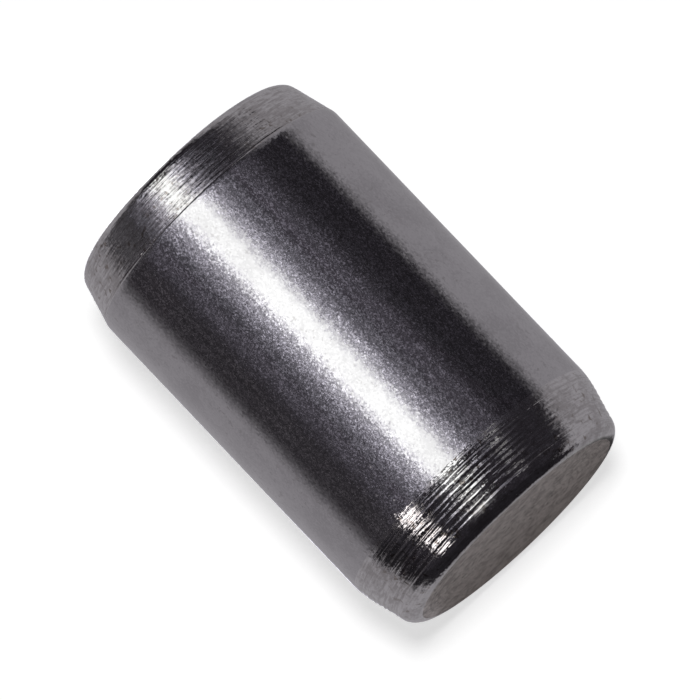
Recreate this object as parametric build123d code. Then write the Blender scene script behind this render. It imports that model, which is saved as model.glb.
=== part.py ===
from build123d import *
import math
import os

# Solid parallel dowel pin, hardened and ground, standing on its lower end.
# One turned piece: a ground shank between two long lead tapers, each ending in a
# faced end with a rounded edge. Millimetres, +Z along the pin, origin at the centre
# of the face that it stands on.

# Driving sizes of the whole pin
PIN_DIAMETER = 10.0
PIN_LENGTH = 15.6

# Lead tapers, measured along the pin from each end face
TAPER_ANGLE = 15.0
UPPER_TAPER_LENGTH = 1.9
LOWER_TAPER_LENGTH = 1.8

# Blends where the ground shank runs into the tapers
UPPER_SHOULDER_RADIUS = 3.5
LOWER_SHOULDER_RADIUS = 0.9

# Rounded edges round the two end faces
UPPER_EDGE_RADIUS = 0.6
LOWER_EDGE_RADIUS = 0.5


def end_face_radius(taper_length):
    """Radius at which a taper's slope meets the plane of its end face."""
    return PIN_DIAMETER / 2 - taper_length * math.tan(math.radians(TAPER_ANGLE))


def half_section():
    """Half of the pin's lengthwise section, on the +X side of its axis."""
    shank_radius = PIN_DIAMETER / 2
    lower_face_radius = end_face_radius(LOWER_TAPER_LENGTH)
    upper_face_radius = end_face_radius(UPPER_TAPER_LENGTH)
    upper_shoulder = PIN_LENGTH - UPPER_TAPER_LENGTH
    with BuildSketch(Plane.XZ) as section:
        with BuildLine():
            Polyline(
                (0, 0),
                (lower_face_radius, 0),
                (shank_radius, LOWER_TAPER_LENGTH),
                (shank_radius, upper_shoulder),
                (upper_face_radius, PIN_LENGTH),
                (0, PIN_LENGTH),
                close=True,
            )
        make_face()
        outer_corners = section.vertices().filter_by(lambda corner: corner.X > 0).sort_by(Axis.Z)
        radii = (LOWER_EDGE_RADIUS, LOWER_SHOULDER_RADIUS, UPPER_SHOULDER_RADIUS, UPPER_EDGE_RADIUS)
        for corner, radius in zip(outer_corners, radii):
            fillet(corner, radius)
    return section.sketch


def dowel_pin():
    """The pin turned from its half section."""
    with BuildPart() as pin:
        add(half_section())
        revolve(axis=Axis.Z)
    return pin.part


os.makedirs("parts", exist_ok=True)
export_step(dowel_pin(), "parts/dowel_pin.step")
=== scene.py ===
"""Looks of a ground steel dowel pin: its turned mesh, its steel finishes and the studio round it."""
import logging
import math
from dataclasses import dataclass, fields
from enum import Enum
from typing import Union

import bmesh
import bpy
from mathutils import Matrix, Vector


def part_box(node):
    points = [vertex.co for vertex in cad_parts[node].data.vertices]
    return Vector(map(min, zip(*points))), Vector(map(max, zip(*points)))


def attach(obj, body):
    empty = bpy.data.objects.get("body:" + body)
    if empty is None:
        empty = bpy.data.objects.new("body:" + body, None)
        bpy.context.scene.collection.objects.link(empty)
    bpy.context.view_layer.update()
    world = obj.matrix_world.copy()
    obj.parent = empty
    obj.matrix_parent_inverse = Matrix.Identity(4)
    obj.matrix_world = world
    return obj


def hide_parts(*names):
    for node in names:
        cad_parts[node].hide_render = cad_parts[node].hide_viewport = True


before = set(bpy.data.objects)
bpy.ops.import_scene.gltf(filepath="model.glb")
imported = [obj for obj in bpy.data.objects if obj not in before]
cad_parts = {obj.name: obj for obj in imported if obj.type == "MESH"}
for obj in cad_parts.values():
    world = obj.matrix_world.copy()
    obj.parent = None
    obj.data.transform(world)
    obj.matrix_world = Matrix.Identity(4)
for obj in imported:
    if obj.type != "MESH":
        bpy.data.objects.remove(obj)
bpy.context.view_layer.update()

NODE = "dowel_pin"
BODY = "root"
CUT = "groove_cut"

MM = 0.001
LOG = logging.getLogger(NODE)
UP = Vector((0.0, 0.0, 1.0))
Colour = tuple[float, float, float]
WHITE: Colour = (1.0, 1.0, 1.0)
WALL: Colour = (0.446, 0.430, 0.453)
DARK: Colour = (0.024, 0.022, 0.026)
# A faint glow that the painted glint spots break into glints where the steel reflects the dark front
GLIMMER: Colour = (0.10, 0.092, 0.112)


class Field:
    """A number that varies over a mesh or a surface, written as arithmetic and kept as Math nodes."""

    def __init__(self, graph: "Graph", socket: bpy.types.NodeSocket) -> None:
        """Wraps one output socket of a graph."""
        self.graph = graph
        self.socket = socket

    def math(self, operation: str, *others: "Value") -> "Field":
        """Applies one Math node.

        Args:
            operation: the node's operation, by Blender's own name.
            others: the second and third operands, where the operation has them.

        Returns:
            The result.
        """
        node = self.graph.add("ShaderNodeMath", operation=operation)
        for place, value in enumerate((self, *others)):
            self.graph.feed(node.inputs[place], value)
        return Field(self.graph, node.outputs[0])

    def __add__(self, other: "Value") -> "Field":
        """self + other."""
        return self.math("ADD", other)

    __radd__ = __add__

    def __sub__(self, other: "Value") -> "Field":
        """self - other."""
        return self.math("SUBTRACT", other)

    def __rsub__(self, other: "Value") -> "Field":
        """other - self."""
        return self.math("MULTIPLY_ADD", -1.0, other)

    def __mul__(self, other: "Value") -> "Field":
        """self * other."""
        return self.math("MULTIPLY", other)

    __rmul__ = __mul__

    def __truediv__(self, other: "Value") -> "Field":
        """self / other."""
        return self.math("DIVIDE", other)

    def above(self, limit: "Value") -> "Field":
        """1 where the number is above the limit, 0 elsewhere."""
        return self.math("GREATER_THAN", limit)

    def size(self) -> "Field":
        """The number without its sign."""
        return self.math("ABSOLUTE")

    def ease(self, low: "Value", high: "Value") -> "Field":
        """A smooth step.

        Args:
            low: where the step begins.
            high: where it ends.

        Returns:
            0 up to low, 1 from high on, and a smooth rise between them.
        """
        node = self.graph.add(
            "ShaderNodeMapRange",
            {"Value": self, "From Min": low, "From Max": high},
            interpolation_type="SMOOTHSTEP",
        )
        return Field(self.graph, node.outputs["Result"])


Value = Union[Field, bpy.types.NodeSocket, float, int, bool, tuple, Vector, bpy.types.Material]


class Graph:
    """A node tree with short calls to add, set and join its nodes."""

    def __init__(self, tree: bpy.types.NodeTree) -> None:
        """Takes over an empty tree."""
        self.tree = tree

    @classmethod
    def of(cls, owner: Union[bpy.types.Material, bpy.types.World]) -> "Graph":
        """Empties the tree of a new material or world.

        Args:
            owner: the material or the world.

        Returns:
            The tree.
        """
        owner.use_nodes = True
        owner.node_tree.nodes.clear()
        return cls(owner.node_tree)

    def add(self, kind: str, feeds: dict[str, Value] | None = None, **settings: object) -> bpy.types.Node:
        """Adds a node.

        Args:
            kind: the node's type name.
            feeds: what goes into its inputs, by socket name.
            settings: the node's own properties.

        Returns:
            The node.
        """
        node = self.tree.nodes.new(kind)
        for name, value in settings.items():
            setattr(node, name, value)
        for name, value in (feeds or {}).items():
            self.feed(node.inputs[name], value)
        return node

    def feed(self, socket: bpy.types.NodeSocket, value: Value) -> None:
        """Joins a socket to a field or another socket, or sets its plain value.

        Args:
            socket: an input of a node.
            value: what goes into it.
        """
        if isinstance(value, Field):
            value = value.socket
        if isinstance(value, bpy.types.NodeSocket):
            self.tree.links.new(value, socket)
        else:
            socket.default_value = value

    def out(self, kind: str, feeds: dict[str, Value] | None = None, **settings: object) -> Field:
        """Adds a node and returns its first enabled output as a field."""
        node = self.add(kind, feeds, **settings)
        return Field(self, next(socket for socket in node.outputs if socket.enabled))

    def split(self, vector: Value) -> tuple[Field, Field, Field]:
        """The three parts of a vector."""
        node = self.add("ShaderNodeSeparateXYZ", {"Vector": vector})
        return tuple(Field(self, socket) for socket in node.outputs)

    def join(self, x: Value, y: Value, z: Value) -> Field:
        """A vector made of three numbers."""
        return self.out("ShaderNodeCombineXYZ", {"X": x, "Y": y, "Z": z})

    def blend(self, share: Value, low: Value, high: Value, mode: str = "MIX") -> Field:
        """A colour between two colours.

        Args:
            share: 0 gives low and 1 gives high.
            low: a colour with its alpha, or a socket.
            high: the same.
            mode: the way of mixing, by Blender's own name.

        Returns:
            The mixed colour.
        """
        node = self.add("ShaderNodeMix", data_type="RGBA", blend_type=mode)
        # The colour sockets, among the node's sockets for other types
        for place, value in ((0, share), (6, low), (7, high)):
            self.feed(node.inputs[place], value)
        return Field(self, node.outputs[2])

    def cover(self, share: Value, under: Value, over: Value) -> bpy.types.NodeSocket:
        """A shader between two shaders.

        Args:
            share: 0 gives under and 1 gives over.
            under: one shader.
            over: the other.

        Returns:
            The mixed shader.
        """
        node = self.add("ShaderNodeMixShader", {"Fac": share})
        self.feed(node.inputs[1], under)
        self.feed(node.inputs[2], over)
        return node.outputs["Shader"]

    def stretch(self, place: Value, around: float, along: float) -> Field:
        """A place scaled by one factor across the pin and by another along it."""
        return self.out("ShaderNodeMapping", {"Vector": place, "Scale": (around, around, along)})

    def noise(self, place: Value, scale: Value, detail: float = 0.0, roughness: float = 0.5) -> Field:
        """Noise from 0 to 1 at a place, with so many features to the metre."""
        feeds = {"Vector": place, "Scale": scale, "Detail": detail, "Roughness": roughness}
        return self.out("ShaderNodeTexNoise", feeds)


class Sockets:
    """The named inputs and outputs of a node group."""

    def __init__(self, name: str, kind: str) -> None:
        """Starts an empty group with its two ends.

        Args:
            name: the group's name.
            kind: the type of its tree.
        """
        self.graph = Graph(bpy.data.node_groups.new(name, kind))
        self.start = self.graph.add("NodeGroupInput")
        self.end = self.graph.add("NodeGroupOutput")
        self.identifiers: dict[str, str] = {}

    def take(self, name: str, kind: str = "NodeSocketFloat") -> Field:
        """Adds a named input.

        Args:
            name: the input's name.
            kind: the type of its socket.

        Returns:
            The input, inside the group.
        """
        made = self.graph.tree.interface.new_socket(name=name, in_out="INPUT", socket_type=kind)
        self.identifiers[name] = made.identifier
        return Field(self.graph, self.start.outputs[name])

    def give(self, name: str, value: Value, kind: str = "NodeSocketFloat") -> None:
        """Adds a named output and feeds it."""
        self.graph.tree.interface.new_socket(name=name, in_out="OUTPUT", socket_type=kind)
        self.graph.feed(self.end.inputs[name], value)


def opaque(colour: Colour) -> tuple[float, float, float, float]:
    """A colour with full alpha."""
    return (*colour, 1.0)


def linked(name: str, data: bpy.types.ID) -> bpy.types.Object:
    """Puts a new object into the scene.

    Args:
        name: the object's name.
        data: its mesh, light or camera.

    Returns:
        The object.
    """
    made = bpy.data.objects.new(name, data)
    bpy.context.collection.objects.link(made)
    return made


class SteelEffects:
    """The node groups that all the steel finishes share."""

    # The grain's length along the pin, the share of its cells and waves, and its lean along x, y and z
    GRAIN_ALONG = 0.8
    CELL_SHARE = 0.8
    WAVE_DENSITY = 0.6
    GRAIN_REACH = (1.0, 1.0, 3.2)
    # How softly a fleck ends, and where the flecks crowd
    FLECK_EDGE = 0.08
    CROWD_DENSITY = 0.09
    CROWD_LIMITS = (0.35, 0.6)
    # How the tool's lines and the breaks in them are drawn out round the pin
    LINE_RUN = 0.05
    BREAK_RUN = 0.2
    BREAK_DENSITY = 0.8
    # Where a dull patch begins and where it is full
    PATCH_LIMITS = (0.35, 0.7)

    def __init__(self) -> None:
        """Builds each group once."""
        self.grain = self._grain()
        self.lines = self._lines()
        self.patches = self._patches()
        self.flecks = self._flecks()

    @staticmethod
    def _start(name: str) -> tuple[Sockets, Field, Field]:
        """An empty group with the inputs that they all have: the place and the features to the metre."""
        ends = Sockets(name, "ShaderNodeTree")
        return ends, ends.take("Place", "NodeSocketVector"), ends.take("Density")

    def _grain(self) -> bpy.types.NodeTree:
        """Builds a fine grain, longer along the pin than round it.

        Returns:
            A group that gives a leaning normal and the shade of the grain's cells.
        """
        ends, place, density = self._start("steel_grain")
        normal = ends.take("Normal", "NodeSocketVector")
        tilt = ends.take("Tilt")
        graph = ends.graph
        along = graph.stretch(place, 1.0, self.GRAIN_ALONG)
        cells = graph.add("ShaderNodeTexVoronoi", {"Vector": along, "Scale": density})
        waves = graph.add("ShaderNodeTexNoise", {
            "Vector": along, "Scale": density * self.WAVE_DENSITY, "Detail": 1.0})
        cell_parts = graph.split(cells.outputs["Color"])
        wave_parts = graph.split(waves.outputs["Color"])
        leaning = []
        for cell, wave, level, reach in zip(cell_parts, wave_parts, graph.split(normal), self.GRAIN_REACH):
            lean = (cell - 0.5) * self.CELL_SHARE + (wave - 0.5)
            leaning.append(lean * (tilt * reach) + level)
        leant = graph.out("ShaderNodeVectorMath", {"Vector": graph.join(*leaning)}, operation="NORMALIZE")
        ends.give("Normal", leant, "NodeSocketVector")
        ends.give("Shade", cell_parts[0])
        return graph.tree

    def _lines(self) -> bpy.types.NodeTree:
        """Builds fine tool lines that run round the pin.

        Returns:
            A group that gives a height over the surface, from 0 to 2.
        """
        ends, place, density = self._start("tool_lines")
        graph = ends.graph
        drawn = graph.stretch(place, self.LINE_RUN, 1.0)
        lines = graph.noise(drawn, density, detail=1.0, roughness=0.6)
        broken = graph.stretch(place, self.BREAK_RUN, 1.0)
        breaks = graph.noise(broken, density * self.BREAK_DENSITY, detail=1.0)
        ends.give("Height", lines + breaks)
        return graph.tree

    def _patches(self) -> bpy.types.NodeTree:
        """Builds cloudy patches where the steel is a little duller.

        Returns:
            A group that gives a mask over the surface.
        """
        ends, place, density = self._start("dull_patches")
        cloud = ends.graph.noise(place, density, detail=4.0, roughness=0.65)
        ends.give("Mask", cloud.ease(*self.PATCH_LIMITS))
        return ends.graph.tree

    def _flecks(self) -> bpy.types.NodeTree:
        """Builds small dark flecks of scale and oil, here and there.

        Returns:
            A group that gives a mask over the surface.
        """
        ends, place, density = self._start("dark_flecks")
        limit = ends.take("Limit")
        specks = ends.graph.noise(place, density, detail=2.0, roughness=0.6)
        crowd = ends.graph.noise(place, density * self.CROWD_DENSITY).ease(*self.CROWD_LIMITS)
        ends.give("Mask", specks.ease(limit, limit + self.FLECK_EDGE) * crowd)
        return ends.graph.tree


class Lay(Enum):
    """How the tool's lines run on a surface."""

    AROUND = "rings along the pin"
    CONCENTRIC = "rings about the centre of an end face"


@dataclass(frozen=True)
class SteelFinish:
    """One way that a surface of the pin is worked.

    Attributes:
        tone, roughness: the clean steel.
        dull_tone, dull_roughness: the steel in the dull patches and in the tool's cuts.
        grain_size, grain_tilt, grain_tone: the grain's width, its lean and how much it shades the steel.
        line_pitch, line_depth, line_tone: the tool lines' distance, their depth and how much they shade.
        patch_size: the size of the dull patches.
        fleck_tone, fleck_size, fleck_limit: the dark flecks, which are rarer the higher their limit.
        metallic: 1 for bare steel, and less where the surface is dull with scale.
        lay: how the tool's lines run.
    """

    tone: Colour
    dull_tone: Colour
    roughness: float
    dull_roughness: float
    grain_size: float
    grain_tilt: float
    grain_tone: float
    line_pitch: float
    line_depth: float
    line_tone: float
    patch_size: float
    fleck_tone: Colour
    fleck_size: float
    fleck_limit: float = 0.6
    metallic: float = 1.0
    lay: Lay = Lay.AROUND

    def material(self, name: str, effects: SteelEffects) -> bpy.types.Material:
        """Builds the finish.

        Args:
            name: the material's name.
            effects: the shared node groups.

        Returns:
            The material.
        """
        made = bpy.data.materials.new(name)
        graph = Graph.of(made)
        place = graph.add("ShaderNodeTexCoord").outputs["Object"]
        lines = self._effect(graph, effects.lines, self._laid(graph, place), self.line_pitch)
        patches = self._effect(graph, effects.patches, place, self.patch_size)
        cut = Field(graph, graph.add("ShaderNodeAttribute", attribute_name=CUT).outputs["Fac"])
        flecks = self._effect(graph, effects.flecks, place, self.fleck_size, Limit=self.fleck_limit)
        level = graph.add("ShaderNodeNewGeometry").outputs["Normal"]
        grained = self._effect(
            graph, effects.grain, place, self.grain_size, Normal=level, Tilt=self.grain_tilt)
        shade = Field(graph, grained.socket.node.outputs["Shade"])
        # The lines' height and the grain's shade are both taken about their middle
        worked = (lines - 1.0) * self.line_tone + (shade - 0.5) * self.grain_tone
        dulled = patches.math("MAXIMUM", cut) + worked
        lined = graph.out("ShaderNodeBump", {
            "Height": lines, "Distance": self.line_depth, "Normal": grained})
        clean = graph.blend(dulled, opaque(self.tone), opaque(self.dull_tone))
        steel = graph.add("ShaderNodeBsdfPrincipled", {
            "Base Color": graph.blend(flecks, clean, opaque(self.fleck_tone)),
            "Metallic": self.metallic,
            "Roughness": dulled * (self.dull_roughness - self.roughness) + self.roughness,
            "Normal": lined,
        })
        graph.add("ShaderNodeOutputMaterial", {"Surface": steel.outputs["BSDF"]})
        return made

    def _laid(self, graph: Graph, place: Value) -> Value:
        """Follows the lay of the tool's lines.

        Args:
            graph: the material's tree.
            place: a place on the pin.

        Returns:
            The place with the direction across the lines as its third part.
        """
        if self.lay is Lay.AROUND:
            return place
        x, y, _ = graph.split(place)
        return graph.join(x, y, (x * x + y * y).math("SQRT"))

    @staticmethod
    def _effect(
        graph: Graph, group: bpy.types.NodeTree, place: Value, size: float, **feeds: Value
    ) -> Field:
        """Places a shared group with one feature to each size, and feeds its other inputs by name."""
        inputs = {"Place": place, "Density": 1.0 / size, **feeds}
        return Field(graph, graph.add("ShaderNodeGroup", inputs, node_tree=group).outputs[0])


class Finish(Enum):
    """The pin's three finishes."""

    GROUND = SteelFinish(
        tone=(0.445, 0.435, 0.445), dull_tone=(0.375, 0.365, 0.375), roughness=0.062, dull_roughness=0.08,
        grain_size=0.056 * MM, grain_tilt=0.05, grain_tone=1.0,
        line_pitch=0.05 * MM, line_depth=0.0002 * MM, line_tone=0.0, patch_size=1.5 * MM,
        fleck_tone=(0.34, 0.33, 0.335), fleck_size=0.2 * MM,
    )
    TURNED = SteelFinish(
        tone=(0.54, 0.53, 0.535), dull_tone=(0.36, 0.345, 0.345), roughness=0.08, dull_roughness=0.13,
        grain_size=0.06 * MM, grain_tilt=0.055, grain_tone=0.4,
        line_pitch=0.045 * MM, line_depth=0.006 * MM, line_tone=1.4, patch_size=0.8 * MM,
        fleck_tone=(0.24, 0.215, 0.20), fleck_size=0.25 * MM,
    )
    FACED = SteelFinish(
        tone=(0.385, 0.337, 0.325), dull_tone=(0.197, 0.168, 0.161), roughness=0.34, dull_roughness=0.42,
        grain_size=0.08 * MM, grain_tilt=0.06, grain_tone=1.0,
        line_pitch=0.08 * MM, line_depth=0.009 * MM, line_tone=1.5, patch_size=0.6 * MM,
        fleck_tone=(0.10, 0.088, 0.082), fleck_size=0.24 * MM, fleck_limit=0.56,
        metallic=0.4, lay=Lay.CONCENTRIC,
    )


@dataclass
class TurnedPin:
    """The pin as one turned mesh: shank, lead tapers with their tool grooves, rounded edges and end faces.

    Each field is an input of the Geometry Nodes tree, by its own name.
    """

    radius: float
    length: float
    taper_angle: float = math.radians(15.0)
    lower_taper: float = 1.8 * MM
    upper_taper: float = 1.9 * MM
    lower_edge: float = 0.5 * MM
    upper_edge: float = 0.6 * MM
    lower_shoulder: float = 0.9 * MM
    upper_shoulder: float = 3.5 * MM
    groove_feed: float = 0.19 * MM
    lower_grooves: float = 0.004 * MM
    upper_grooves: float = 0.02 * MM
    lower_rings: float = 0.016 * MM
    upper_rings: float = 0.022 * MM
    station: float = 0.018 * MM
    shank_station: float = 1.0 * MM
    face_station: float = 0.25 * MM
    edge_steps: int = 24
    turns: int = 256
    seed: int = 7

    # Where the tool cut each taper, measured from its end, and how the cuts run in and out
    LOWER_GROOVES = (0.22 * MM, 1.70 * MM)
    UPPER_GROOVES = (0.5 * MM, 2.34 * MM)
    GROOVE_FADE = 0.05 * MM
    UPPER_RUN_OUT = 1.0 * MM
    UPPER_TURNED = 2.17 * MM
    # How far the passes wander, and the least and the full share of a groove's depth
    FEED_WANDER = 1.1
    WANDER_RUN = 0.035
    WANDER_SCALE = 0.6
    GROOVE_SHARES = (0.55, 1.0)
    # How the rings break up, the level they are cut from, and how their depth dulls the steel
    RING_RUN = 0.13
    RING_SCALE = 2.3
    RING_LEVEL = 0.3
    RING_DULLS = (0.1, 0.35)
    # The fine ring at each shoulder
    SHOULDER_RINGS = (1.66 * MM, 13.73 * MM)
    SHOULDER_DEPTH = 0.012 * MM
    SHOULDER_WIDTH = 0.05 * MM
    # What counts as level on the section, as one point of the mesh, and as an end face
    LEVEL = 0.0001 * MM
    SAME_PLACE = 0.001 * MM
    FACE_LEAN = math.radians(4.0)

    @classmethod
    def from_frame(cls) -> "TurnedPin":
        """Takes the pin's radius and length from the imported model."""
        low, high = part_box(NODE)
        return cls(radius=(high[0] - low[0]) / 2.0, length=high[2] - low[2])

    def build(self, effects: SteelEffects) -> bpy.types.Object:
        """Turns the mesh and dresses it.

        Args:
            effects: the node groups that the finishes share.

        Returns:
            The finished piece, riding on its body.
        """
        ends = self._tree()
        inputs: dict[str, object] = dict(self._sizes())
        for finish in Finish:
            inputs[finish.name.title()] = finish.value.material(f"{finish.name.lower()}_steel", effects)
        blank = linked("pin_blank", bpy.data.meshes.new("pin_blank"))
        turning = blank.modifiers.new("turning", "NODES")
        turning.node_group = ends.graph.tree
        for name, value in inputs.items():
            turning[ends.identifiers[name]] = value
        mesh = bpy.data.meshes.new_from_object(blank.evaluated_get(bpy.context.evaluated_depsgraph_get()))
        bpy.data.objects.remove(blank)
        # The tree leaves an empty slot before those of the finishes
        mesh.materials.pop(index=0)
        piece = linked("dowel_pin_turned", mesh)
        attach(piece, BODY)
        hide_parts(NODE)
        return piece

    def _sizes(self) -> dict[str, float]:
        """The sizes and counts, by the names of the tree's inputs."""
        return {field.name.replace("_", " ").title(): getattr(self, field.name) for field in fields(self)}

    def _tree(self) -> Sockets:
        """Builds the Geometry Nodes tree that turns the pin.

        Returns:
            The tree's sockets.
        """
        ends = Sockets("turned_pin", "GeometryNodeTree")
        graph = ends.graph
        inputs: dict[str, Field] = {}
        for name, value in self._sizes().items():
            inputs[name] = ends.take(name, "NodeSocketInt" if isinstance(value, int) else "NodeSocketFloat")
        finishes = {finish: ends.take(finish.name.title(), "NodeSocketMaterial") for finish in Finish}
        turned = self._revolved(graph, self._section(graph, inputs), inputs)
        grooved = self._grooved(graph, turned, inputs)
        ends.give("Pin", self._dressed(graph, grooved, inputs, finishes), "NodeSocketGeometry")
        return ends

    @staticmethod
    def _pick(graph: Graph, kind: str, items: list[Value]) -> Field:
        """Picks one of several values by the index of the point.

        Args:
            graph: the tree.
            kind: the values' data type.
            items: the values.

        Returns:
            The value at each point.
        """
        node = graph.add("GeometryNodeIndexSwitch", data_type=kind)
        while len(node.index_switch_items) < len(items):
            node.index_switch_items.new()
        for socket, value in zip(node.inputs, (graph.out("GeometryNodeInputIndex"), *items)):
            graph.feed(socket, value)
        return Field(graph, node.outputs["Output"])

    def _section(self, graph: Graph, inputs: dict[str, Field]) -> Field:
        """The lengthwise half section, from the lower face's centre to the upper one's.

        Args:
            graph: the tree.
            inputs: its sizes and counts.

        Returns:
            A curve in the XZ plane with a point at each station.
        """
        slope = inputs["Taper Angle"].math("TANGENT")
        lower_face = inputs["Radius"] - inputs["Lower Taper"] * slope
        upper_face = inputs["Radius"] - inputs["Upper Taper"] * slope
        shoulder = inputs["Length"] - inputs["Upper Taper"]
        corners = [
            (0.0, 0.0, 0.0),
            graph.join(lower_face, 0.0, 0.0),
            graph.join(inputs["Radius"], 0.0, inputs["Lower Taper"]),
            graph.join(inputs["Radius"], 0.0, shoulder),
            graph.join(upper_face, 0.0, inputs["Length"]),
            graph.join(0.0, 0.0, inputs["Length"]),
        ]
        radii = [0.0, inputs["Lower Edge"], inputs["Lower Shoulder"], inputs["Upper Shoulder"],
                 inputs["Upper Edge"], 0.0]
        stations_per_radius = inputs["Taper Angle"] / inputs["Station"]
        steps = [1, inputs["Edge Steps"], inputs["Lower Shoulder"] * stations_per_radius,
                 inputs["Upper Shoulder"] * stations_per_radius, inputs["Edge Steps"], 1]
        line = graph.out("GeometryNodeCurvePrimitiveLine")
        points = graph.out("GeometryNodeResampleCurve", {"Curve": line, "Count": len(corners)})
        outline = graph.out("GeometryNodeSetPosition", {
            "Geometry": points, "Position": self._pick(graph, "VECTOR", corners)})
        rounded = graph.out("GeometryNodeFilletCurve", {
            "Curve": outline, "Radius": self._pick(graph, "FLOAT", radii),
            "Count": self._pick(graph, "INT", steps), "Limit Radius": True}, mode="POLY")
        return graph.out("GeometryNodeSubdivideCurve", {"Curve": rounded, "Cuts": self._cuts(graph, inputs)})

    def _cuts(self, graph: Graph, inputs: dict[str, Field]) -> Field:
        """How many stations each straight run of the section gets between its two ends.

        Args:
            graph: the tree.
            inputs: its sizes and counts.

        Returns:
            A count that is high on the tapers and low on the shank and the faces.
        """
        here = graph.out("GeometryNodeInputPosition")
        following = graph.out(
            "GeometryNodeFieldAtIndex", {"Value": here, "Index": graph.out("GeometryNodeInputIndex") + 1},
            data_type="FLOAT_VECTOR", domain="POINT")
        run = graph.add("ShaderNodeVectorMath", operation="SUBTRACT")
        graph.feed(run.inputs[0], following)
        graph.feed(run.inputs[1], here)
        across, _, along = graph.split(run.outputs["Vector"])
        length = (across * across + along * along).math("SQRT")
        on_face = 1.0 - along.size().above(self.LEVEL)
        on_shank = 1.0 - across.size().above(self.LEVEL)
        on_taper = 1.0 - on_face - on_shank
        spacing = (on_face * inputs["Face Station"] + on_shank * inputs["Shank Station"]
                   + on_taper * inputs["Station"])
        return ((length / spacing).math("ROUND") - 1.0).math("MAXIMUM", 0.0)

    def _revolved(self, graph: Graph, section: Field, inputs: dict[str, Field]) -> Field:
        """Turns the section about the axis.

        Args:
            graph: the tree.
            section: the smooth half section.
            inputs: the tree's sizes and counts.

        Returns:
            A closed mesh.
        """
        size = graph.add("GeometryNodeAttributeDomainSize", {"Geometry": section}, component="CURVE")
        points = Field(graph, size.outputs["Point Count"])
        grid = graph.add("GeometryNodeMeshGrid", {"Vertices X": inputs["Turns"] + 1, "Vertices Y": points})
        index = graph.out("GeometryNodeInputIndex")
        ring = ((index + 0.5) / points).math("FLOOR")
        here = graph.out("GeometryNodeInputPosition")
        station = graph.out(
            "GeometryNodeSampleIndex", {"Geometry": section, "Value": here, "Index": index - ring * points},
            data_type="FLOAT_VECTOR", domain="POINT")
        radius, _, height = graph.split(station)
        angle = ring / inputs["Turns"] * math.tau
        place = graph.join(radius * angle.math("COSINE"), radius * angle.math("SINE"), height)
        turned = graph.out("GeometryNodeSetPosition", {"Geometry": grid.outputs["Mesh"], "Position": place})
        return graph.out("GeometryNodeMergeByDistance", {"Geometry": turned, "Distance": self.SAME_PLACE})

    def _grooved(self, graph: Graph, turned: Field, inputs: dict[str, Field]) -> Field:
        """Cuts the turning tool's marks into the two tapers.

        Args:
            graph: the tree.
            turned: the smooth mesh.
            inputs: the tree's sizes and counts.

        Returns:
            The mesh with one scallop to each feed, broken rings over them and a fine ring at each shoulder,
            and with an attribute that marks the cuts.
        """
        x, y, height = graph.split(graph.out("GeometryNodeInputPosition"))
        reach = (x * x + y * y).math("SQRT")
        feed = inputs["Groove Feed"]
        passes = height / feed + inputs["Seed"]
        slow, quick = (graph.join(x / feed * run, y / feed * run, passes)
                       for run in (self.WANDER_RUN, self.RING_RUN))
        pass_number = passes + graph.noise(slow, self.WANDER_SCALE) * self.FEED_WANDER
        groove = pass_number.math("FLOOR")
        off_centre = (pass_number - groove) * 2.0 - 1.0
        scallop = 1.0 - off_centre * off_centre
        share = self._share(graph, groove, inputs["Seed"])
        ring = graph.noise(quick, self.RING_SCALE, detail=1.0, roughness=0.55) - self.RING_LEVEL
        lower, upper = self._zones(height, inputs["Length"])
        grooves = scallop * share * (lower * inputs["Lower Grooves"] + upper * inputs["Upper Grooves"])
        rings = ring * (lower * inputs["Lower Rings"] + upper * inputs["Upper Rings"])
        low, high = self.SHOULDER_RINGS
        off_shoulder = (height - low).size().math("MINIMUM", (height - high).size())
        shoulder = 1.0 - off_shoulder.ease(0.0, self.SHOULDER_WIDTH)
        cut = grooves + rings + shoulder * self.SHOULDER_DEPTH
        inward = graph.join(x / reach * cut * -1.0, y / reach * cut * -1.0, 0.0)
        grooved = graph.out("GeometryNodeSetPosition", {"Geometry": turned, "Offset": inward})
        dulled = (ring.ease(*self.RING_DULLS) * (lower + upper)).math("MAXIMUM", shoulder)
        return graph.out(
            "GeometryNodeStoreNamedAttribute", {"Geometry": grooved, "Name": CUT, "Value": dulled},
            data_type="FLOAT", domain="POINT")

    def _share(self, graph: Graph, groove: Field, seed: Field) -> Field:
        """Draws how deep each groove is cut.

        Args:
            graph: the tree.
            groove: the groove's number.
            seed: the seed of the draw.

        Returns:
            A share of the full depth.
        """
        chance = graph.add("FunctionNodeRandomValue", {"ID": groove, "Seed": seed}, data_type="FLOAT")
        # The float limits and the float result, among the node's sockets for other types
        for place, limit in zip((2, 3), self.GROOVE_SHARES):
            graph.feed(chance.inputs[place], limit)
        return Field(graph, chance.outputs[1])

    def _zones(self, height: Field, length: Field) -> tuple[Field, Field]:
        """Where the tool cut the lower and the upper taper.

        Args:
            height: the height on the pin.
            length: the pin's length.

        Returns:
            The two zones, each from 0 to 1.
        """
        fade = self.GROOVE_FADE
        low, high = self.LOWER_GROOVES
        lower = height.ease(low, low + fade) * (1.0 - height.ease(high - fade, high))
        depth = length - height
        low, high = self.UPPER_GROOVES
        upper = depth.ease(low, low + fade) * (1.0 - depth.ease(high - self.UPPER_RUN_OUT, high))
        return lower, upper

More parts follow.
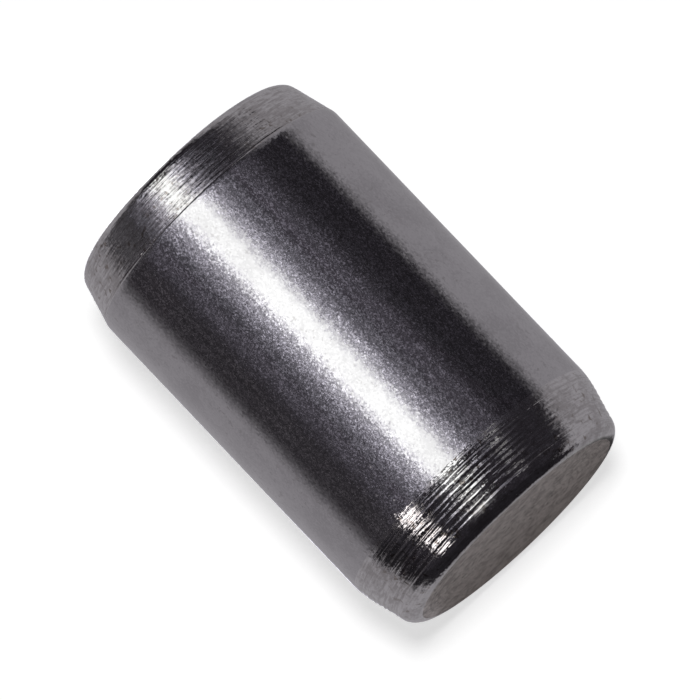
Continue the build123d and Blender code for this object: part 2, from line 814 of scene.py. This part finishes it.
    def _dressed(
        self, graph: Graph, turned: Field, inputs: dict[str, Field], finishes: dict[Finish, Field]
    ) -> Field:
        """Gives each zone of the pin its finish.

        Args:
            graph: the tree.
            turned: the closed mesh.
            inputs: the tree's sizes and counts.
            finishes: its material inputs.

        Returns:
            The dressed mesh.
        """
        _, _, height = graph.split(graph.out("GeometryNodeInputPosition"))
        _, _, facing = graph.split(graph.out("GeometryNodeInputNormal"))
        on_upper = height.above(inputs["Length"] - self.UPPER_TURNED)
        on_lower = 1.0 - height.above(self.LOWER_GROOVES[1])
        on_face = facing.size().above(math.cos(self.FACE_LEAN))
        zones: dict[Finish, Value] = {
            Finish.GROUND: True, Finish.TURNED: on_upper + on_lower, Finish.FACED: on_face}
        smooth = graph.out("GeometryNodeSetShadeSmooth", {"Geometry": turned})
        dressed = graph.out("GeometryNodeRealizeInstances", {"Geometry": smooth})
        for finish, zone in zones.items():
            dressed = graph.out("GeometryNodeSetMaterial", {
                "Geometry": dressed, "Selection": zone, "Material": finishes[finish]})
        return dressed


@dataclass(frozen=True)
class Cloth:
    """The tent's cloth in its node tree.

    Attributes:
        graph: the tree.
        azimuth: the direction round the pin, in radians.
        elevation: the direction up from the level, in radians.
        weave: uneven spots painted into the cloth's glow, from 0 to 1, which show as glints in the steel's
            reflections.
    """

    graph: Graph
    azimuth: Field
    elevation: Field
    weave: Field


@dataclass(frozen=True)
class Panel:
    """A soft-edged patch of the light tent, by direction from the pin, in degrees.

    Attributes:
        colour: the patch's glow.
        azimuth, elevation: its middle, round the pin and up from the level.
        half_width, half_height: its reach to each side and to each end.
        side_fade, end_fade: half the width of its soft sides and of its soft ends.
        mottle: how far the painted glint spots break it up, from 0 to 1.
    """

    colour: Colour
    azimuth: float
    elevation: float
    half_width: float
    half_height: float
    side_fade: float
    end_fade: float
    mottle: float = 0.0

    def laid(self, cloth: Cloth, mask: bpy.types.NodeTree, under: Value) -> Field:
        """Lays the panel over the cloth.

        Args:
            cloth: the cloth.
            mask: the group that makes a soft-edged patch.
            under: the colour that the panel covers.

        Returns:
            The cloth's colour with the panel on it.
        """
        angles = {
            "Centre Azimuth": self.azimuth, "Centre Elevation": self.elevation,
            "Half Width": self.half_width, "Half Height": self.half_height,
            "Side Fade": self.side_fade, "End Fade": self.end_fade,
        }
        feeds: dict[str, Value] = {name: math.radians(angle) for name, angle in angles.items()}
        feeds.update({"Azimuth": cloth.azimuth, "Elevation": cloth.elevation})
        node = cloth.graph.add("ShaderNodeGroup", feeds, node_tree=mask)
        share = Field(cloth.graph, node.outputs["Mask"])
        # Uneven spots painted into the panel's glow, which show as glints in the steel's reflections
        if self.mottle:
            share = share * (cloth.weave * self.mottle + (1.0 - self.mottle))
        return cloth.graph.blend(share, under, opaque(self.colour))


@dataclass(frozen=True)
class Strip:
    """A long soft lamp behind the tent's cloth, brightest along its middle, in degrees.

    Attributes:
        colour, edge_colour: the glow along its middle and towards its sides.
        azimuth, elevation: a point of its middle, round the pin and up from the level.
        half_width, falloff: how far it spreads to each side and how fast it fades there.
        low_end, high_end: the two limits between which each end fades.
        lean: how far it turns round the pin with each degree of height.
        mottle: how far the painted glint spots break up its sides.
    """

    colour: Colour = (2.31, 2.36, 2.31)
    edge_colour: Colour = (2.36, 2.27, 2.66)
    azimuth: float = 10.55
    elevation: float = -20.0
    half_width: float = 12.4
    falloff: float = 0.65
    low_end: tuple[float, float] = (-62.0, -40.0)
    high_end: tuple[float, float] = (1.0, 7.0)
    lean: float = -0.245
    mottle: float = 0.5

    BELL_POWER = 4.0
    WEAVE_GAIN = 5.4

    def light(self, cloth: Cloth) -> Field:
        """Shines through the cloth.

        Args:
            cloth: the cloth.

        Returns:
            The lamp's colour, which falls off to the sides as a bell.
        """
        rise = cloth.elevation - math.radians(self.elevation)
        off_middle = cloth.azimuth - math.radians(self.azimuth) - rise * self.lean
        spread = off_middle.math("WRAP", math.pi, -math.pi) / math.radians(self.half_width)
        bell = (spread.math("POWER", self.BELL_POWER) + 1.0).math("POWER", -self.falloff)
        from_low = cloth.elevation.ease(*map(math.radians, self.low_end))
        to_high = 1.0 - cloth.elevation.ease(*map(math.radians, self.high_end))
        # Uneven spots painted into the lamp's sides, and not its middle, which show as glints in the steel's
        # reflections
        uneven = (cloth.weave * self.WEAVE_GAIN - 1.0) * (1.0 - bell * bell) * self.mottle + 1.0
        strength = bell * from_low * to_high * uneven
        tint = cloth.graph.blend(bell, opaque(self.edge_colour), opaque(self.colour))
        return cloth.graph.out(
            "ShaderNodeVectorMath", {"Vector": tint, "Scale": strength}, operation="SCALE")


@dataclass
class LightTent:
    """A dome round the pin that only its reflections see: grey walls with a dark front and ceiling.

    Attributes:
        centre, radius: the dome's middle and size.
        weave_size: the size of the spots painted into the cloth, which show as glints in the steel.
        walls: the panels, each over those before it.
        strips, lamps: the long lamps, which lighten the walls, and the small ones over them all.
    """

    centre: Vector
    radius: float = 150.0 * MM
    weave_size: float = 5.5 * MM
    walls: tuple[Panel, ...] = (
        Panel((0.375, 0.362, 0.381), -172.0, 0.0, 30.0, 60.0, 14.0, 20.0),
        Panel(DARK, -14.0, 0.0, 73.5, 95.0, 9.0, 3.0),
        Panel(DARK, 46.0, 0.0, 50.0, 95.0, 12.0, 3.0),
        Panel(GLIMMER, 0.0, 0.0, 82.0, 95.0, 8.0, 3.0, mottle=1.0),
        Panel((0.162, 0.15, 0.164), 78.0, -12.0, 16.0, 14.0, 9.0, 5.0, mottle=0.85),
        Panel((0.42, 0.396, 0.468), 6.5, -12.0, 51.5, 18.0, 13.0, 6.0, mottle=0.85),
        Panel(DARK, 180.0, 90.0, 185.0, 35.0, 3.0, 3.0),
        Panel(DARK, 180.0, 90.0, 60.0, 44.0, 10.0, 3.0),
        Panel(DARK, 180.0, -90.0, 185.0, 17.0, 3.0, 6.0),
        Panel(WALL, -88.0, -48.0, 20.0, 24.0, 24.0, 6.0),
        Panel((0.26, 0.25, 0.267), 76.0, -46.0, 26.0, 22.0, 10.0, 6.0, mottle=0.9),
        Panel(DARK, 92.0, 30.0, 12.0, 27.0, 6.0, 6.0),
        Panel(DARK, -90.0, 52.0, 10.0, 15.0, 4.0, 4.0),
        Panel(DARK, 112.0, 52.0, 14.0, 13.0, 5.0, 4.0),
    )
    strips: tuple[Strip, ...] = (
        Strip(),
        Strip(
            colour=(0.6, 0.6, 0.6), edge_colour=(0.6, 0.585, 0.64), azimuth=8.8, elevation=0.0,
            half_width=6.8, low_end=(8.0, 16.0), high_end=(24.0, 34.0), lean=0.0,
        ),
        Strip(
            azimuth=178.0, elevation=0.0,
            half_width=4.0, low_end=(-60.0, -50.0), high_end=(-7.0, -1.0), lean=0.0,
        ),
    )
    lamps: tuple[Panel, ...] = (
        Panel((3.2, 3.05, 3.0), 52.0, 11.5, 7.2, 9.0, 3.5, 2.0),
        Panel((0.6, 0.59, 0.59), -34.0, 9.0, 6.0, 4.0, 3.0, 3.0),
    )

    SEGMENTS = 64
    RINGS = 32
    WEAVE_LIMITS = (0.5, 0.75)

    def build(self) -> bpy.types.Object:
        """Makes the dome, paints it and hides it from everything but reflections.

        Returns:
            The stage object.
        """
        shape = bmesh.new()
        bmesh.ops.create_uvsphere(shape, u_segments=self.SEGMENTS, v_segments=self.RINGS,
                                  radius=self.radius, matrix=Matrix.Translation(self.centre))
        mesh = bpy.data.meshes.new("light_tent")
        shape.to_mesh(mesh)
        shape.free()
        mesh.materials.append(self._paint())
        tent = linked("light_tent", mesh)
        tent.visible_camera = False
        tent.visible_diffuse = False
        tent.visible_transmission = False
        tent.visible_volume_scatter = False
        tent.visible_shadow = False
        return tent

    def _paint(self) -> bpy.types.Material:
        """The glowing cloth of the tent with its panels and lamps.

        Returns:
            The material.
        """
        made = bpy.data.materials.new("tent_cloth")
        made.cycles.emission_sampling = "NONE"
        graph = Graph.of(made)
        place = graph.add("ShaderNodeTexCoord").outputs["Object"]
        seen = graph.out("ShaderNodeMapping", {"Vector": place, "Location": -self.centre})
        x, y, z = graph.split(seen)
        cloth = Cloth(
            graph,
            azimuth=x.math("ARCTAN2", y * -1.0),
            elevation=z.math("ARCTAN2", (x * x + y * y).math("SQRT")),
            # Uneven spots painted into the cloth's glow, which show as glints in the steel's reflections
            weave=graph.noise(seen, 1.0 / self.weave_size).ease(*self.WEAVE_LIMITS),
        )
        mask = self._mask()
        colour: Value = opaque(WALL)
        for panel in self.walls:
            colour = panel.laid(cloth, mask, colour)
        for strip in self.strips:
            colour = graph.blend(1.0, colour, strip.light(cloth), mode="LIGHTEN")
        for lamp in self.lamps:
            colour = lamp.laid(cloth, mask, colour)
        glow = graph.add("ShaderNodeEmission", {"Color": colour})
        graph.add("ShaderNodeOutputMaterial", {"Surface": glow.outputs["Emission"]})
        return made

    @staticmethod
    def _mask() -> bpy.types.NodeTree:
        """Builds the mask of a panel.

        Returns:
            A group that gives 1 inside a soft-edged patch of directions and 0 outside.
        """
        ends = Sockets("panel_mask", "ShaderNodeTree")
        names = ("Azimuth", "Elevation", "Centre Azimuth", "Centre Elevation", "Half Width", "Half Height",
                 "Side Fade", "End Fade")
        azimuth, elevation, middle, level, width, height, side, end = map(ends.take, names)
        turn = (azimuth - middle).math("WRAP", math.pi, -math.pi).size()
        lift = (elevation - level).size()
        inside = 1.0 - turn.ease(width - side, width + side)
        ends.give("Mask", inside * (1.0 - lift.ease(height - end, height + end)))
        return ends.graph.tree


@dataclass(frozen=True)
class FootShade:
    """A painted shadow: a glow on the table just beyond the near end, dim close to the pin where its shadow
    falls, which only that end's face reflects.

    Attributes:
        near_glow, far_glow: the painted glow next to the pin, dark as in its shadow, and at the far side.
        sides, side_fade: where the shade ends across the pin, and half the width of that soft edge.
        reach: how far it goes beyond the pin.
    """

    near_glow: Colour = (0.02, 0.018, 0.018)
    far_glow: Colour = (0.40, 0.394, 0.40)
    sides: tuple[float, float] = (-4.8 * MM, 3.6 * MM)
    side_fade: float = 0.4 * MM
    reach: float = 4.0 * MM

    def paint(self, graph: Graph, start: float) -> tuple[Field, Field]:
        """Paints the shade.

        Args:
            graph: the table's tree.
            start: the height of the near end.

        Returns:
            Where the shade lies, from 0 to 1, and its colour.
        """
        across, _, height = graph.split(graph.add("ShaderNodeTexCoord").outputs["Object"])
        beyond = height.above(start) * (1.0 - height.above(start + self.reach))
        past_left, past_right = (
            across.ease(side - self.side_fade, side + self.side_fade) for side in self.sides)
        # Painted shadow: dark next to the pin and lighter away from it
        share = height.ease(start, start + self.reach)
        colour = graph.blend(share, opaque(self.near_glow), opaque(self.far_glow))
        return beyond * past_left * (1.0 - past_right), colour


@dataclass
class Table:
    """The white table that the pin lies against: a plane along the pin's side, behind it in the picture."""

    pin: TurnedPin
    tilt: float = math.radians(-4.0)
    size: float = 600.0 * MM
    colour: Colour = (0.9, 0.9, 0.9)
    glow: float = 0.645
    foot: FootShade = FootShade()

    @property
    def normal(self) -> Vector:
        """The direction away from the table."""
        return Vector((math.sin(self.tilt), -math.cos(self.tilt), 0.0))

    def build(self) -> bpy.types.Object:
        """Makes the table top.

        Returns:
            The stage object.
        """
        across = UP.cross(self.normal)
        middle = UP * (self.pin.length / 2.0) - self.normal * self.pin.radius
        half = self.size / 2.0
        corners = [middle + across * (side * half) + UP * (rise * half)
                   for side, rise in ((-1, -1), (1, -1), (1, 1), (-1, 1))]
        mesh = bpy.data.meshes.new("table_top")
        mesh.from_pydata(corners, [], [(0, 1, 2, 3)])
        mesh.materials.append(self._paint())
        table = linked("table_top", mesh)
        return table

    def _paint(self) -> bpy.types.Material:
        """White card that glows to the camera and shows from its front only; reflections see just its foot,
        which carries a painted shadow of the pin.

        Returns:
            The material.
        """
        made = bpy.data.materials.new("table_white")
        made.cycles.emission_sampling = "NONE"
        graph = Graph.of(made)
        path = graph.add("ShaderNodeLightPath")
        seen = Field(graph, path.outputs["Is Camera Ray"])
        reflected = Field(graph, path.outputs["Is Glossy Ray"])
        white = graph.add("ShaderNodeBsdfDiffuse", {"Color": opaque(self.colour)})
        lit = graph.add("ShaderNodeEmission", {"Color": opaque(WHITE), "Strength": seen * self.glow})
        front = graph.add("ShaderNodeAddShader")
        graph.feed(front.inputs[0], white.outputs["BSDF"])
        graph.feed(front.inputs[1], lit.outputs["Emission"])
        # The foot's painted shadow of the pin, which only reflections see
        where, shade = self.foot.paint(graph, self.pin.length)
        foot = graph.add("ShaderNodeEmission", {"Color": shade})
        faced = graph.cover(reflected, front.outputs["Shader"], foot.outputs["Emission"])
        clear = graph.add("ShaderNodeBsdfTransparent")
        behind = graph.add("ShaderNodeNewGeometry").outputs["Backfacing"]
        hidden = (reflected * (1.0 - where)).math("MAXIMUM", behind)
        sided = graph.cover(hidden, faced, clear.outputs["BSDF"])
        graph.add("ShaderNodeOutputMaterial", {"Surface": sided})
        return made


@dataclass
class Lamps:
    """The world's light, the key lamp that throws the pin's shadow and a lamp square to the near end."""

    table: Table
    key_side: float = math.radians(-2.7)
    key_end: float = math.radians(-0.8)
    key_strength: float = 1.2
    key_spread: float = math.radians(11.0)
    end_strength: float = 1.15
    ambient: float = 0.03

    def build(self) -> None:
        """Sets the world and adds the two lamps."""
        self._world()
        normal = self.table.normal
        towards = normal + UP.cross(normal) * math.tan(self.key_side) + UP * math.tan(self.key_end)
        self._lamp("key_lamp", towards, self.key_strength, self.key_spread)
        self._lamp("end_lamp", UP, self.end_strength, 0.0)

    @staticmethod
    def _lamp(name: str, towards: Vector, strength: float, spread: float) -> None:
        """Adds a far lamp that shows in no reflection.

        Args:
            name: the lamp's name.
            towards: the direction from the pin to the lamp.
            strength: its strength.
            spread: the angle that it takes up, which softens its shadow.
        """
        light = bpy.data.lights.new(name, "SUN")
        light.energy = strength
        light.angle = spread
        lamp = linked(name, light)
        lamp.rotation_euler = towards.to_track_quat("Z", "Y").to_euler()
        lamp.visible_glossy = False

    def _world(self) -> None:
        """White to the camera and to reflections, and a soft fill for the rest."""
        world = bpy.data.worlds.new("studio")
        graph = Graph.of(world)
        path = graph.add("ShaderNodeLightPath")
        seen = Field(graph, path.outputs["Is Camera Ray"])
        for name in ("Is Glossy Ray", "Is Transmission Ray"):
            seen = seen.math("MAXIMUM", path.outputs[name])
        strength = seen * (1.0 - self.ambient) + self.ambient
        sky = graph.add("ShaderNodeBackground", {"Color": opaque(WHITE), "Strength": strength})
        graph.add("ShaderNodeOutputWorld", {"Surface": sky.outputs["Background"]})
        bpy.context.scene.world = world


@dataclass
class PhotoCamera:
    """The photograph's camera, found by fitting the pin's outline."""

    aim: Vector
    roll: float = math.radians(46.38)
    lift: float = math.radians(10.44)
    distance: float = 378.8 * MM
    pixels_per_mm: float = 31.374
    picture_pixels: float = 700.0
    sensor_mm: float = 36.0
    centre_pixel: tuple[float, float] = (349.80, 354.05)
    clip_start: float = 10.0 * MM
    clip_end: float = 10000.0 * MM

    def basis(self) -> tuple[Vector, Vector, Vector]:
        """Works out how the camera is turned.

        Returns:
            The picture's right and up directions and the direction back to the camera.
        """
        right = Vector((-math.sin(self.roll), math.sin(self.lift) * math.cos(self.roll),
                        math.cos(self.lift) * math.cos(self.roll)))
        up = Vector((-math.cos(self.roll), -math.sin(self.lift) * math.sin(self.roll),
                     -math.cos(self.lift) * math.sin(self.roll)))
        back = Vector((0.0, -math.cos(self.lift), math.sin(self.lift)))
        return right, up, back

    def build(self) -> bpy.types.Object:
        """Makes the camera and looks through it.

        Returns:
            The camera.
        """
        right, up, back = self.basis()
        middle = self.picture_pixels / 2.0
        per_pixel = MM / self.pixels_per_mm
        shift = right * ((middle - self.centre_pixel[0]) * per_pixel)
        shift += up * ((self.centre_pixel[1] - middle) * per_pixel)
        lens = bpy.data.cameras.new("photo_camera")
        lens.sensor_width = self.sensor_mm
        lens.lens = self.pixels_per_mm * (self.distance / MM) * self.sensor_mm / self.picture_pixels
        lens.clip_start = self.clip_start
        lens.clip_end = self.clip_end
        camera = linked("photo_camera", lens)
        place = Matrix((right, up, back)).transposed().to_4x4()
        place.translation = self.aim + back * self.distance + shift
        camera.matrix_world = place
        bpy.context.scene.camera = camera
        return camera


def main() -> None:
    """Builds the camera, the studio and the pin, and reports each."""
    logging.basicConfig(level=logging.INFO, format="%(name)s: %(message)s")
    bpy.context.scene.view_settings.view_transform = "Standard"
    pin = TurnedPin.from_frame()
    middle = Vector((0.0, 0.0, pin.length / 2.0))
    camera = PhotoCamera(aim=middle)
    LOG.info("camera %s", camera.build().name)
    table = Table(pin)
    LOG.info("stage %s", table.build().name)
    LOG.info("stage %s", LightTent(middle).build().name)
    Lamps(table).build()
    piece = pin.build(SteelEffects())
    LOG.info("piece %s with %d faces", piece.name, len(piece.data.polygons))


if __name__ == "__main__":
    main()
